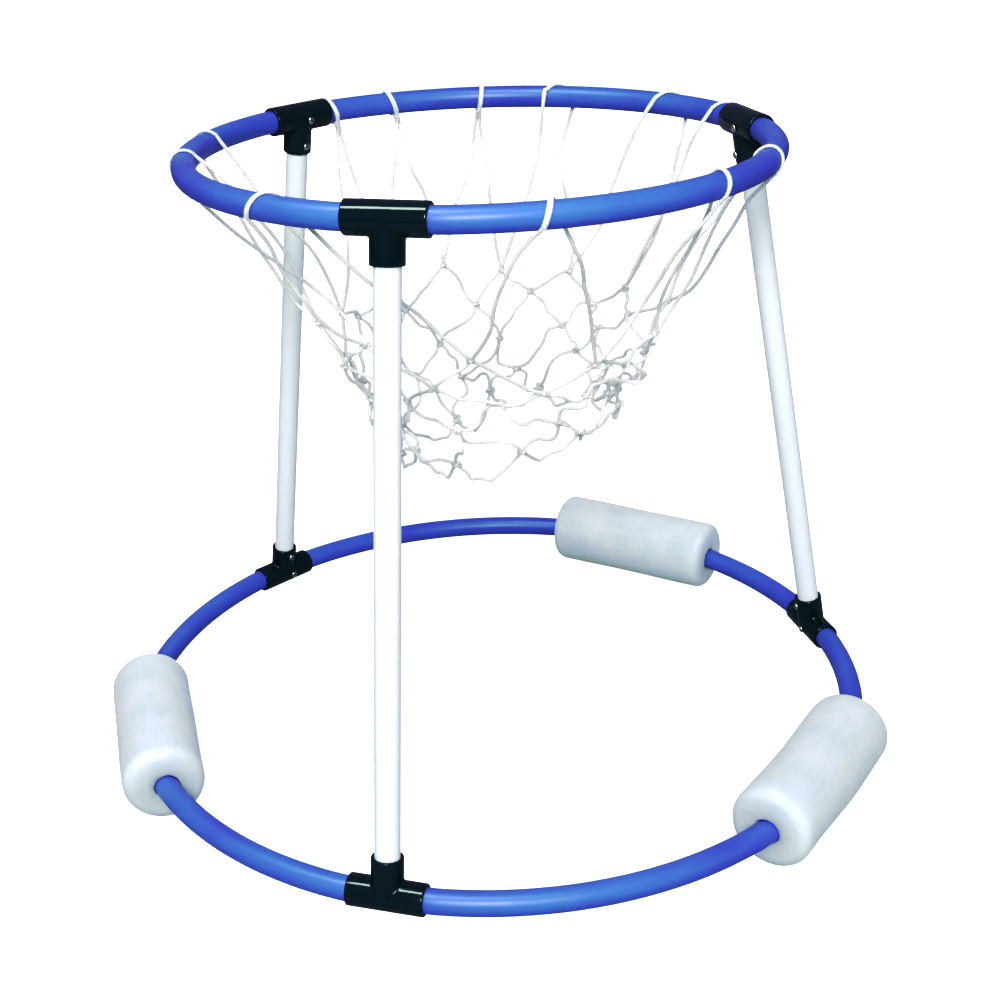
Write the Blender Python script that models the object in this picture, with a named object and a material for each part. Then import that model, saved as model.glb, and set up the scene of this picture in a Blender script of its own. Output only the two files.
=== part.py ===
"""Floating basketball hoop: two tube rings joined by three legs, three foam floats and a knotted net.

Metres, +Z up. The part stands on its floats at z = 0, with the front leg towards -Y.
"""

import math
import random

import bmesh
import bpy
from mathutils import Matrix, Vector

# Tube, shared by both rings and the legs
TUBE_R = 0.010
TUBE_WALL = 0.002
TUBE_SIDES = 12
BORE_SIDES = 8

# Rings: centreline radius of each, and the upright distance between their planes
HOOP_RADIUS = 0.237
BASE_RADIUS = 0.328
RING_GAP = 0.498
END_BEND_RADIUS = 0.050
BEND_STEPS = 2
ARC_STEP = 0.034
RING_CENTRE = Vector((-0.008, -0.0115, 0.0))

# Tee fittings, the same at all six corners
TEE_WALL = 0.0024
TEE_RUN = 0.062
TEE_STEM = 0.032
TEE_CHAMFER = 0.0012
TEE_SIDES = 12
STOP_THICKNESS = 0.003
SOCKET_GAP = 0.0003
END_GAP = 0.0003
MOUTH_STRAIGHT = 0.002

# Self-tapping screws, one through each run and one through each stem, on the side that faces the axis
SCREW_R = 0.0016
SCREW_HEAD_R = 0.0034
SCREW_HEAD_H = 0.0020
SCREW_CROWN_R = 0.0024
SCREW_LENGTH = 0.009
SCREW_SIDES = 8
SCREW_GAP = 0.0002
RUN_SCREW_OFFSET = 0.0045
STEM_SCREW_DROP = 0.024

# Foam floats: the bore follows the base ring, and the foam round it stays nearly straight.
# The skin lies inside the ring by a share of what the ring's bend leaves over.
FLOAT_R = 0.0350
FLOAT_LENGTH = 0.176
FLOAT_BEND_RADIUS = 3.0
FLOAT_INSET_SHARE = 0.84
FLOAT_BORE_SLACK = 0.002
FLOAT_ROUND = 0.012
FLOAT_SIDES = 16
FLOAT_STEPS = 6
ROUND_STEPS = 3
SEAT_GAP = 0.0003

# Net: cord, loops round the hoop, rows of knots down the funnel
CORD_R = 0.0015
KNOT_R = 0.0034
LOOP_GAP = 0.0004
LOOP_STEPS = 9
LOOP_DRAW = 0.007
LOOP_MITRE = 0.5
LOOP_CLEARANCE = 0.0055
NECK_ANGLE = math.radians(-62)
LOOP_AZIMUTHS = (39.5, 57.6, 86.2, 104.8, 125.9, 141.0, 181.6, 201.2, 245.4, 296.6, 331.3, 351.8)
LOOP_SLANTS = (6, 14, 12, -4, -6, -4, 8, 6, -10, 18, -8, -16)
NET_ROWS = 5
NET_FIRST_DROP = 0.140
NET_LAST_DROP = 0.236
NET_FIRST_R = 0.146
NET_LAST_R = 0.098
NET_HEM_DROP = 0.020
NET_HEM_IN = 0.012
NET_LEAN = Vector((0.016, 0.0, 0.0))
NET_TILT = 0.10
NET_TILT_AZIMUTH = math.radians(-20)
NET_UNEVEN = 0.008
NET_EVEN_FIRST = 0.35
NET_EVEN_LAST = 0.85
NET_SEED = 11
STRAND_SIDES = 3
LOOP_SIDES = 4
FIRST_STRAND_STEPS = 2
HEM_STEPS = 3

# Where each tee and each float stands round the axis, in degrees
TEE_AZIMUTHS = {"front": -90.0, "right": 30.0, "left": 150.0}
NEXT_TUBE = {"front": "right", "right": "back", "left": "left"}
FLOAT_AZIMUTHS = {"left": 210.5, "back": 75.2, "right": 341.1}

# What follows from the sizes above
TUBE_BORE_R = TUBE_R - TUBE_WALL
SOCKET_R = (TUBE_R + SOCKET_GAP) / math.cos(math.pi / TEE_SIDES)
TEE_R = TUBE_R + SOCKET_GAP + TEE_WALL
STEM_STOP = SOCKET_R + TEE_WALL
BEND_START = TEE_RUN / 2 + MOUTH_STRAIGHT
TUBE_END = STOP_THICKNESS / 2 + END_GAP
FLOAT_BORE_R = TUBE_R + FLOAT_BORE_SLACK
FLOAT_AXIS_Z = FLOAT_R * math.cos(math.pi / FLOAT_SIDES)
SEAT_SHIFT = FLOAT_BORE_R - TUBE_R - SEAT_GAP
BASE_Z = FLOAT_AXIS_Z - SEAT_SHIFT
HOOP_Z = BASE_Z + RING_GAP
LOOP_NECK = TUBE_R + LOOP_DRAW
THIRD_TURN = math.radians(120)


def clear_scene():
    for obj in list(bpy.data.objects):
        bpy.data.objects.remove(obj, do_unlink=True)


def material(name, colour, roughness, metallic=0.0):
    """A plain Principled material."""
    made = bpy.data.materials.new(name)
    made.use_nodes = True
    shader = made.node_tree.nodes["Principled BSDF"]
    shader.inputs["Base Color"].default_value = (*colour, 1.0)
    shader.inputs["Roughness"].default_value = roughness
    shader.inputs["Metallic"].default_value = metallic
    made.diffuse_color = (*colour, 1.0)
    return made


def add_object(name, mesh, matrix, finish, helper=False):
    """One named object from a mesh, placed by its matrix. A helper is left out of the build."""
    obj = bpy.data.objects.new(name, mesh)
    bpy.context.scene.collection.objects.link(obj)
    obj.matrix_world = matrix
    if finish is not None and not mesh.materials:
        mesh.materials.append(finish)
    if helper:
        obj.hide_render = True
        obj.display_type = "WIRE"
    return obj


def finished_mesh(name, bm):
    """The bmesh as a mesh with its faces turned outwards, smooth but for its sharp edges."""
    bmesh.ops.recalc_face_normals(bm, faces=bm.faces)
    mesh = bpy.data.meshes.new(name)
    bm.to_mesh(mesh)
    bm.free()
    mesh.shade_smooth()
    mesh.set_sharp_from_angle(angle=math.radians(40))
    return mesh


def boolean(obj, other, operation):
    modifier = obj.modifiers.new(operation.lower(), "BOOLEAN")
    modifier.operation = operation
    modifier.solver = "EXACT"
    modifier.object = other
    return modifier


def mesh_of_modifiers(obj):
    """The mesh that an object's modifiers make, as a new mesh of its own."""
    bpy.context.view_layer.update()
    graph = bpy.context.evaluated_depsgraph_get()
    return bpy.data.meshes.new_from_object(obj.evaluated_get(graph))


def skin(bm, sections, inward=False):
    """Joins equal rings of points into a skin open at both ends, and returns its two end loops of edges."""
    rings = [[bm.verts.new(point) for point in section] for section in sections]
    count = len(rings[0])
    for ring, following in zip(rings, rings[1:]):
        for k in range(count):
            after = (k + 1) % count
            corners = (ring[k], ring[after], following[after], following[k])
            bm.faces.new(reversed(corners) if inward else corners)
    ends = []
    for ring in (rings[0], rings[-1]):
        ends.append([bm.edges.get((ring[k], ring[(k + 1) % count])) for k in range(count)])
    return ends


def capped_skin(bm, sections):
    """A skin closed by a face at each end."""
    for edges in skin(bm, sections):
        bmesh.ops.contextual_create(bm, geom=edges)


def hollow_skin(bm, outer_sections, inner_sections):
    """An outer and an inner skin joined at both ends by a band, as a tube's wall is."""
    outer_ends = skin(bm, outer_sections)
    inner_ends = skin(bm, inner_sections, inward=True)
    for outer_edges, inner_edges in zip(outer_ends, inner_ends):
        bmesh.ops.bridge_loops(bm, edges=outer_edges + inner_edges)


def section(centre, across, up, radius, sides, turn=0.0):
    """A ring of points round a centre. The turn is in steps of one side, counted from the lowest point."""
    points = []
    for k in range(sides):
        angle = 2 * math.pi * (k + turn) / sides - math.pi / 2
        points.append(centre + radius * (math.cos(angle) * across + math.sin(angle) * up))
    return points


def turned_mesh(name, profile, sides, turn=0.0):
    """A solid turned round Z from (radius, height) pairs. A radius of 0 is a point on the axis."""
    bm = bmesh.new()
    z_axis = Vector((0, 0, 1))
    rings = []
    for radius, height in profile:
        centre = height * z_axis
        count = sides if radius > 0 else 1
        points = section(centre, Vector((1, 0, 0)), Vector((0, 1, 0)), radius, count, turn)
        rings.append([bm.verts.new(point) for point in points])
    for ring, following in zip(rings, rings[1:]):
        for k in range(sides):
            corners = [ring[k % len(ring)], ring[(k + 1) % len(ring)]]
            corners += [following[(k + 1) % len(following)], following[k % len(following)]]
            bm.faces.new(list(dict.fromkeys(corners)))
    for ring in (rings[0], rings[-1]):
        if len(ring) > 1:
            bm.faces.new(ring)
    return finished_mesh(name, bm)


def tee_distance(ring_radius):
    """How far a tee's run lies from the ring's axis, so that the tube's end bend meets both run and arc."""
    inner = ring_radius - END_BEND_RADIUS
    return END_BEND_RADIUS + math.sqrt(inner**2 - BEND_START**2)


def bend_angle(ring_radius):
    """The turn of the tube's end bend, which is also the azimuth at which the arc starts."""
    return math.asin(BEND_START / (ring_radius - END_BEND_RADIUS))


def ring_tube_path(ring_radius):
    """Points and directions of one ring tube, from the tee at azimuth 0 to the tee at 120 degrees."""
    distance = tee_distance(ring_radius)
    turn = bend_angle(ring_radius)
    half = [(Vector((distance, TUBE_END, 0)), 0.0)]
    bend_centre = Vector((distance - END_BEND_RADIUS, BEND_START, 0))
    for step in range(BEND_STEPS):
        angle = turn * step / BEND_STEPS
        half.append((bend_centre + END_BEND_RADIUS * Vector((math.cos(angle), math.sin(angle), 0)), angle))
    span = THIRD_TURN - 2 * turn
    steps = math.ceil(span * ring_radius / ARC_STEP)
    arc = []
    for step in range(steps + 1):
        angle = turn + span * step / steps
        arc.append((ring_radius * Vector((math.cos(angle), math.sin(angle), 0)), angle))
    mirrored = []
    for point, angle in reversed(half):
        radius, azimuth = point.length, THIRD_TURN - math.atan2(point.y, point.x)
        mirrored.append((radius * Vector((math.cos(azimuth), math.sin(azimuth), 0)), THIRD_TURN - angle))
    return half + arc + mirrored


def ring_tube_mesh(name, ring_radius):
    """A hollow tube swept along its path. Each section stands square to the path."""
    up = Vector((0, 0, 1))
    outer, inner = [], []
    for point, angle in ring_tube_path(ring_radius):
        across = Vector((math.cos(angle), math.sin(angle), 0))
        outer.append(section(point, across, up, TUBE_R, TUBE_SIDES))
        inner.append(section(point, across, up, TUBE_BORE_R, BORE_SIDES))
    bm = bmesh.new()
    hollow_skin(bm, outer, inner)
    return finished_mesh(name, bm)


def leg_ends():
    """Where a leg starts and stops below its upper tee's centre, measured along the leg."""
    spread = tee_distance(BASE_RADIUS) - tee_distance(HOOP_RADIUS)
    return STEM_STOP + END_GAP, math.hypot(spread, RING_GAP) - STEM_STOP - END_GAP


def leg_mesh():
    """A straight hollow tube along -Z, in its upper tee's frame."""
    across, up = Vector((1, 0, 0)), Vector((0, 1, 0))
    outer, inner = [], []
    for drop in leg_ends():
        centre = Vector((0, 0, -drop))
        outer.append(section(centre, across, up, TUBE_R, TUBE_SIDES))
        inner.append(section(centre, across, up, TUBE_BORE_R, BORE_SIDES))
    bm = bmesh.new()
    hollow_skin(bm, outer, inner)
    return finished_mesh("leg", bm)


def tee_mesh():
    """A tee with its run along Y and its stem along -Z, bored from each mouth to an inner stop."""
    along_run = Matrix.Rotation(math.pi / 2, 4, "X")
    half, stop, rim = TEE_RUN / 2, STOP_THICKNESS / 2, TEE_R - TEE_CHAMFER
    beyond_run, beyond_stem = half + TEE_WALL, TEE_STEM + TEE_WALL
    wide_left, narrow_left = (SOCKET_R, -stop), (TUBE_BORE_R, -stop)
    narrow_right, wide_right = (TUBE_BORE_R, stop), (SOCKET_R, stop)
    wide_stem, narrow_stem = (SOCKET_R, -STEM_STOP), (TUBE_BORE_R, -STEM_STOP)
    profiles = {
        "tee_run": [(rim, -half), (TEE_R, TEE_CHAMFER - half), (TEE_R, half - TEE_CHAMFER), (rim, half)],
        "tee_stem": [(rim, -TEE_STEM), (TEE_R, TEE_CHAMFER - TEE_STEM), (TEE_R, 0)],
        "run_bore": [
            (SOCKET_R, -beyond_run),
            wide_left,
            narrow_left,
            narrow_right,
            wide_right,
            (SOCKET_R, beyond_run),
        ],
        "stem_bore": [(SOCKET_R, -beyond_stem), wide_stem, narrow_stem, (TUBE_BORE_R, 0)],
    }
    shapes = {}
    for name, profile in profiles.items():
        is_run = "run" in name
        mesh = turned_mesh(name, profile, TEE_SIDES, turn=0.0 if is_run else 0.5)
        shapes[name] = add_object(name, mesh, along_run if is_run else Matrix(), None, True)
    run = shapes["tee_run"]
    boolean(run, shapes["tee_stem"], "UNION")
    boolean(run, shapes["run_bore"], "DIFFERENCE")
    boolean(run, shapes["stem_bore"], "DIFFERENCE")
    made = mesh_of_modifiers(run)
    made.name = "tee"
    made.transform(along_run)
    made.set_sharp_from_angle(angle=math.radians(40))
    return made


def screw_mesh():
    """A pan-head screw along +Z, with the underside of its head at z = 0."""
    profile = [
        (0, -SCREW_LENGTH),
        (SCREW_R, -SCREW_LENGTH + SCREW_R),
        (SCREW_R, 0),
        (SCREW_HEAD_R, 0),
        (SCREW_CROWN_R, SCREW_HEAD_H),
    ]
    return turned_mesh("screw", profile, SCREW_SIDES, turn=0.5)


def float_frame(along):
    """Centre and outward direction of a float's outer skin, at a distance along it from its middle."""
    half = FLOAT_LENGTH / 2
    ring_sag = BASE_RADIUS - math.sqrt(BASE_RADIUS**2 - half**2)
    float_sag = FLOAT_BEND_RADIUS - math.sqrt(FLOAT_BEND_RADIUS**2 - half**2)
    inset = FLOAT_INSET_SHARE * (ring_sag - float_sag)
    curve_centre = BASE_RADIUS - inset - FLOAT_BEND_RADIUS
    angle = along / FLOAT_BEND_RADIUS
    across = Vector((math.cos(angle), math.sin(angle), 0))
    return Vector((curve_centre, 0, FLOAT_AXIS_Z)) + FLOAT_BEND_RADIUS * across, across


def float_bore_end(side):
    """Where the ring's arc passes through a float's end face. The side is -1 or 1."""
    centre, across = float_frame(side * FLOAT_LENGTH / 2)
    to_axis = centre.xy.dot(across.xy)
    reach = math.sqrt(BASE_RADIUS**2 - centre.xy.length_squared + to_axis**2) - to_axis
    return centre + reach * across, across


def float_mesh():
    """A foam cylinder with rounded ends, bent a little, with its bore along the base ring."""
    half = FLOAT_LENGTH / 2
    stations = []
    for step in range(ROUND_STEPS):
        angle = math.pi / 2 * step / ROUND_STEPS
        stations.append((half - FLOAT_ROUND * (1 - math.cos(angle)), FLOAT_ROUND * (1 - math.sin(angle))))
    straight = half - FLOAT_ROUND
    outer_stations = [(-along, cut) for along, cut in stations]
    for step in range(FLOAT_STEPS + 1):
        outer_stations.append((straight * (2 * step / FLOAT_STEPS - 1), 0.0))
    outer_stations += list(reversed(stations))

    up = Vector((0, 0, 1))
    outer = []
    for along, cut in outer_stations:
        centre, across = float_frame(along)
        outer.append(section(centre, across, up, FLOAT_R - cut, FLOAT_SIDES, turn=0.5))
    first, last = float_bore_end(-1), float_bore_end(1)
    bore_places = [first]
    widest = math.atan2(last[0].y, last[0].x)
    for step in range(1, FLOAT_STEPS):
        angle = widest * (2 * step / FLOAT_STEPS - 1)
        across = Vector((math.cos(angle), math.sin(angle), 0))
        bore_places.append((BASE_RADIUS * across + FLOAT_AXIS_Z * up, across))
    bore_places.append(last)
    inner = [section(centre, across, up, FLOAT_BORE_R, TUBE_SIDES) for centre, across in bore_places]
    bm = bmesh.new()
    hollow_skin(bm, outer, inner)
    return finished_mesh("float", bm)


def strand(bm, points):
    """A thin closed prism along a line of points, as one strand of cord."""
    sections = []
    for k, point in enumerate(points):
        along = (points[min(k + 1, len(points) - 1)] - points[max(k - 1, 0)]).normalized()
        across = along.cross(Vector((0, 0, 1)))
        if across.length < 0.1:
            across = along.cross(Vector((1, 0, 0)))
        across.normalize()
        sections.append(section(point, across, along.cross(across), CORD_R, STRAND_SIDES, turn=0.5))
    capped_skin(bm, sections)


def net_loop(bm, azimuth, slant):
    """One loop of cord round the hoop's tube, drawn to a neck below it. Returns the neck's point."""
    outward = Vector((math.cos(azimuth), math.sin(azimuth), 0))
    sideways, up = Vector((-outward.y, outward.x, 0)), Vector((0, 0, 1))
    tube_centre = HOOP_RADIUS * outward
    ring_r = (TUBE_R + LOOP_GAP + CORD_R) / math.cos(math.pi / (LOOP_STEPS + 2))
    opening = math.acos(ring_r / LOOP_NECK)
    neck = (LOOP_NECK, NECK_ANGLE)
    corners = [neck]
    sweep = 2 * math.pi - 2 * opening
    for step in range(LOOP_STEPS + 1):
        corners.append((ring_r, NECK_ANGLE + opening + sweep * step / LOOP_STEPS))
    lean = math.tan(math.radians(slant))
    sections = []
    for k, (radius, angle) in enumerate(corners):
        before, after = corners[k - 1], corners[(k + 1) % len(corners)]
        flat = [Vector((r * math.cos(a), r * math.sin(a))) for r, a in (before, (radius, angle), after)]
        bisector = (flat[1] - flat[0]).normalized() + (flat[2] - flat[1]).normalized()
        normal = Vector((-bisector.y, bisector.x)).normalized()
        stretch = 1 / max(LOOP_MITRE, bisector.length / 2)
        ring = []
        for side in range(LOOP_SIDES):
            turn = 2 * math.pi * (side + 0.5) / LOOP_SIDES
            spot = flat[1] + CORD_R * stretch * math.cos(turn) * normal
            shift = CORD_R * math.sin(turn) + lean * spot.y
            ring.append(bm.verts.new(tube_centre - spot.x * outward + spot.y * up + shift * sideways))
        sections.append(ring)
    for ring, following in zip(sections, sections[1:] + sections[:1]):
        for k in range(LOOP_SIDES):
            after = (k + 1) % LOOP_SIDES
            bm.faces.new((ring[k], ring[after], following[after], following[k]))
    low = Vector((LOOP_NECK * math.cos(NECK_ANGLE), LOOP_NECK * math.sin(NECK_ANGLE)))
    return tube_centre - low.x * outward + low.y * up + lean * low.y * sideways


def loop_azimuths():
    """The loops' places round the hoop in degrees, each moved clear of the nearest tee."""
    clear = math.degrees((TEE_RUN / 2 + LOOP_CLEARANCE) / HOOP_RADIUS)
    places = []
    for azimuth in LOOP_AZIMUTHS:
        for tee in TEE_AZIMUTHS.values():
            away = (azimuth - tee + 180) % 360 - 180
            if abs(away) < clear:
                azimuth = tee + math.copysign(clear, away)
        places.append(azimuth)
    return places


def net_knots(places):
    """The rows of knots down the net's funnel, each row half a step round from the row above."""
    count = len(places)
    chance = random.Random(NET_SEED)
    rows = []
    for row in range(NET_ROWS):
        share = row / (NET_ROWS - 1)
        drop = NET_FIRST_DROP + share * (NET_LAST_DROP - NET_FIRST_DROP)
        radius = NET_FIRST_R + share * (NET_LAST_R - NET_FIRST_R)
        knots = []
        for k in range(count):
            place = k + 0.5 if row % 2 == 0 else k + 1.0
            low, high = int(place) % count, (int(place) + 1) % count
            gap = (places[high] - places[low]) % 360
            by_loops = places[low] + (place % 1) * gap
            evenly = places[0] + 360 * place / count
            slide = (evenly - by_loops + 180) % 360 - 180
            evenness = NET_EVEN_FIRST + share * (NET_EVEN_LAST - NET_EVEN_FIRST)
            azimuth = math.radians(by_loops + evenness * slide)
            out = radius + chance.uniform(-1, 1) * NET_UNEVEN
            aside = chance.uniform(-1, 1) * NET_UNEVEN
            down = drop + chance.uniform(-1, 1) * NET_UNEVEN
            down *= 1 - share * NET_TILT * math.cos(azimuth - NET_TILT_AZIMUTH)
            outward = Vector((math.cos(azimuth), math.sin(azimuth), 0))
            sideways = Vector((-outward.y, outward.x, 0))
            leaning = (down / NET_LAST_DROP) * NET_LEAN
            knots.append(out * outward + aside * sideways + leaning - Vector((0, 0, down)))
        rows.append(knots)
    return rows


def net_meshes():
    """The net's strands and loops as one mesh, and its knots as another, both round the hoop's centre."""
    cords = bmesh.new()
    places = loop_azimuths()
    necks = [net_loop(cords, math.radians(a), slant) for a, slant in zip(places, LOOP_SLANTS)]
    rows = net_knots(places)
    count = len(necks)
    shares = [step / FIRST_STRAND_STEPS for step in range(FIRST_STRAND_STEPS + 1)]
    for k in range(count):
        for knot in (rows[0][k], rows[0][k - 1]):
            strand(cords, [necks[k].lerp(knot, share) for share in shares])
    for row in range(NET_ROWS - 1):
        back = -1 if row % 2 == 0 else 1
        for k in range(count):
            for other in (k, (k + back) % count):
                strand(cords, [rows[row][k], rows[row + 1][other]])
    for k in range(count):
        start, stop = rows[-1][k], rows[-1][(k + 1) % count]
        inward = Vector((-start.x - stop.x, -start.y - stop.y, 0)).normalized()
        points = []
        for step in range(HEM_STEPS + 1):
            share = step / HEM_STEPS
            dip = NET_HEM_IN * inward - Vector((0, 0, NET_HEM_DROP))
            points.append(start.lerp(stop, share) + math.sin(math.pi * share) * dip)
        strand(cords, points)
    knots = bmesh.new()
    for centre in necks + [knot for row in rows for knot in row]:
        bmesh.ops.create_icosphere(knots, subdivisions=1, radius=KNOT_R, matrix=Matrix.Translation(centre))
    return finished_mesh("net", cords), finished_mesh("net_knots", knots)


def ring_place(azimuth, height):
    """The frame at a ring's centre, with +X turned to an azimuth."""
    return Matrix.Translation(RING_CENTRE + Vector((0, 0, height))) @ Matrix.Rotation(azimuth, 4, "Z")


def tee_place(azimuth, height, ring_radius):
    """The frame at a tee's centre: +X outwards, Y along the run, Z along the leaning leg."""
    lean = math.atan2(tee_distance(BASE_RADIUS) - tee_distance(HOOP_RADIUS), RING_GAP)
    shift = Matrix.Translation((tee_distance(ring_radius), 0, 0))
    return ring_place(azimuth, height) @ shift @ Matrix.Rotation(-lean, 4, "Y")


def screw_place(tee_frame, along_run, along_leg):
    """The frame of a screw whose head rests on the tee's inner side."""
    inward = Matrix.Rotation(-math.pi / 2, 4, "Y")
    return tee_frame @ Matrix.Translation((-TEE_R - SEAT_GAP, along_run, along_leg)) @ inward


def build():
    clear_scene()
    blue = material("blue_tube", (0.035, 0.115, 0.62), 0.28)
    black = material("black_tee", (0.008, 0.009, 0.014), 0.16)
    white = material("white_tube", (0.86, 0.88, 0.92), 0.35)
    foam = material("white_foam", (0.84, 0.88, 0.92), 0.85)
    steel = material("screw_steel", (0.62, 0.63, 0.65), 0.30, 1.0)
    twine = material("net_cord", (0.80, 0.82, 0.84), 0.90)

    tubes = {
        "hoop": (ring_tube_mesh("hoop_tube", HOOP_RADIUS), HOOP_RADIUS, HOOP_Z),
        "base": (ring_tube_mesh("base_tube", BASE_RADIUS), BASE_RADIUS, BASE_Z),
    }
    tee, screw, leg = tee_mesh(), screw_mesh(), leg_mesh()
    hole_profile = [(SCREW_R + SCREW_GAP, -SCREW_LENGTH), (SCREW_R + SCREW_GAP, SCREW_LENGTH)]
    hole = turned_mesh("screw_hole", hole_profile, SCREW_SIDES, turn=0.5)

    # The stem hangs from each hoop tee and stands on each base tee
    stem_side = {"hoop": -1.0, "base": 1.0}
    flips = {"hoop": Matrix(), "base": Matrix.Rotation(math.pi, 4, "X")}
    ring_tubes, tees, legs = {}, {}, {}
    for ring, (mesh, radius, height) in tubes.items():
        for place, azimuth in TEE_AZIMUTHS.items():
            turn = math.radians(azimuth)
            tube_name = f"{ring}_tube_{NEXT_TUBE[place]}"
            ring_tubes[ring, place] = add_object(tube_name, mesh, ring_place(turn, height), blue)
            tee_frame = tee_place(turn, height, radius)
            tees[ring, place] = add_object(f"{ring}_tee_{place}", tee, tee_frame @ flips[ring], black)
            if ring == "hoop":
                legs[place] = add_object(f"leg_{place}", leg, tee_frame, white)

    # Each run screw enters the tube that arrives from the tee before
    arriving = {"front": "left", "right": "front", "left": "right"}
    for (ring, place), tee_object in tees.items():
        turn = math.radians(TEE_AZIMUTHS[place])
        tee_frame = tee_place(turn, tubes[ring][2], tubes[ring][1])
        spots = {
            "run": ((-RUN_SCREW_OFFSET, 0.0), ring_tubes[ring, arriving[place]]),
            "stem": ((0.0, stem_side[ring] * STEM_SCREW_DROP), legs[place]),
        }
        for part, ((along_run, along_leg), tube) in spots.items():
            name = f"{ring}_tee_{place}_{part}_screw"
            matrix = screw_place(tee_frame, along_run, along_leg)
            add_object(name, screw, matrix, steel)
            cutter = add_object(f"{name}_hole", hole, matrix, None, True)
            boolean(tee_object, cutter, "DIFFERENCE")
            boolean(tube, cutter, "DIFFERENCE")

    foam_mesh = float_mesh()
    for place, azimuth in FLOAT_AZIMUTHS.items():
        add_object(f"float_{place}", foam_mesh, ring_place(math.radians(azimuth), 0), foam)

    cords, knots = net_meshes()
    net = add_object("net", cords, ring_place(0, HOOP_Z), twine)
    knot_helper = add_object("net_knots", knots, ring_place(0, HOOP_Z), None, True)
    boolean(net, knot_helper, "UNION").use_self = True


build()
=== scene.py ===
"""Looks of the floating basketball hoop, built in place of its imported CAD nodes. Metres, +Z up."""

import math
import random

import bmesh
import bpy
import numpy as np
from mathutils import Matrix, Vector


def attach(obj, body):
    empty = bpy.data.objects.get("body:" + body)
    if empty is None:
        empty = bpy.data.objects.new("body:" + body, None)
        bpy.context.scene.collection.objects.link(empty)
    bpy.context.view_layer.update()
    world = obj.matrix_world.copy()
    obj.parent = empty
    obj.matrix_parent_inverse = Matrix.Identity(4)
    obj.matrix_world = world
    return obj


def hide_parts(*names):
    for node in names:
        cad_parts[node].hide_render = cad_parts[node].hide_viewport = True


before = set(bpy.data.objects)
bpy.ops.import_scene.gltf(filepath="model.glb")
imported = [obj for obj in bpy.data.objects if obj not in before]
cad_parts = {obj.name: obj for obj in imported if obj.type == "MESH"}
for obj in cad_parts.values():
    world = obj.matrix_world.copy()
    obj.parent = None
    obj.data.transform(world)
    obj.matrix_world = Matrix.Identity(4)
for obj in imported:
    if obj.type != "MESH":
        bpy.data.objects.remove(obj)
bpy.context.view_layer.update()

# Sizes of the part, from its own source or worked out from it
TUBE_R = 0.010
TUBE_BORE_R = 0.008
HOOP_RADIUS = 0.237
BASE_RADIUS = 0.328
RING_GAP = 0.498
END_BEND_RADIUS = 0.050
RING_CENTRE = Vector((-0.008, -0.0115, 0.0))
TEE_R = 0.0127
TEE_RUN = 0.062
TEE_STEM = 0.032
TEE_STOP = 0.0015
STEM_STOP = 0.01306
SOCKET_R = 0.0103  # round here, many-sided in the part
END_GAP = 0.0003
BEND_START = TEE_RUN / 2 + 0.002
TUBE_END = TEE_STOP + END_GAP
SCREW_R = 0.0016
SCREW_HEAD_R = 0.0034
SCREW_HEAD_H = 0.0020
SCREW_LENGTH = 0.009
RUN_SCREW_OFFSET = 0.0045
STEM_SCREW_DROP = 0.024
FLOAT_R = 0.0350
FLOAT_LENGTH = 0.176
FLOAT_BEND_RADIUS = 3.0
FLOAT_INSET = 0.0090
FLOAT_BORE_R = 0.012
FLOAT_AXIS_Z = FLOAT_R * math.cos(math.pi / 16)
SEAT_GAP = 0.0003
BASE_Z = FLOAT_AXIS_Z - (FLOAT_BORE_R - TUBE_R - SEAT_GAP)
HOOP_Z = BASE_Z + RING_GAP
TEE_AZIMUTHS = {"front": -90.0, "right": 30.0, "left": 150.0}
NEXT_TUBE = {"front": "right", "right": "back", "left": "left"}
FLOAT_AZIMUTHS = {"left": 210.5, "back": 75.2, "right": 341.1}
LOOP_AZIMUTHS = (39.5, 57.6, 86.2, 104.8, 125.9, 141.0, 181.6, 201.2, 245.4, 296.6, 331.3, 351.8)
LOOP_NECK = 0.0170
NECK_ANGLE = math.radians(-62)
NET_ROWS = 5
NET_FIRST_DROP = 0.140
NET_LAST_DROP = 0.236
NET_FIRST_R = 0.146
NET_LAST_R = 0.098
NET_HEM_DROP = 0.020
NET_LEAN = Vector((0.016, 0.0, 0.0))
NET_TILT = 0.10
NET_TILT_AZIMUTH = math.radians(-20)
NET_UNEVEN = 0.008
NET_EVEN_FIRST = 0.35
NET_EVEN_LAST = 0.85
NET_SEED = 11

# How each loop lies on the hoop's tube: its slant in degrees, and how far apart its two strands come
# off the tube. A loop with no travel is drawn together in a neck
LOOP_SLANTS = (0, 0, 0, -8, 15, 14, 8, 6, 0, 0, 4, 26)
LOOP_TRAVELS = (-0.020, -0.023, -0.024, 0, 0, 0, 0.004, 0.006, -0.016, -0.012, -0.010, 0.005)

# Fineness and softness of the visual pieces
ROUND_SIDES = 56
TEE_LIP = 0.0011
TEE_FILLET = 0.0022
FLOAT_ROUND = 0.0095
FOAM_BORE_R = 0.0109
CORD_R = 0.0016
LOOP_CORD_R = 0.0023
CORD_SIDES = 10
CORD_STEP = 0.0022
CORD_LAY = 0.0078
TUBE_STEP = 0.004
LEG_STEPS = 60
SOCKET_CHAMFER = 0.0003
HEAD_EDGE = 0.0003
THREAD_ROOT = 0.78
THREAD_PITCH = 0.0006
FOAM_SIDES = 72
FOAM_UNEVEN = 0.00022
KNOT_STEPS = 42
LOOP_STEPS = 18
LOOP_KINK = 0.0016
CROSSED_SLACK = 0.0110
NECKED_SLACK = 0.0065
NECK_SPLIT = 0.0011
PRESS_REACH = 0.004
WHIP_TURNS = 2.6
WHIP_LENGTH = 0.0052
WHIP_START = 0.35
WHIP_R = 0.0021
WHIP_CORD_R = 0.00088
NET_HEM_R = 0.012
HEM_STRAY = 0.0022


# Finishes

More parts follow.
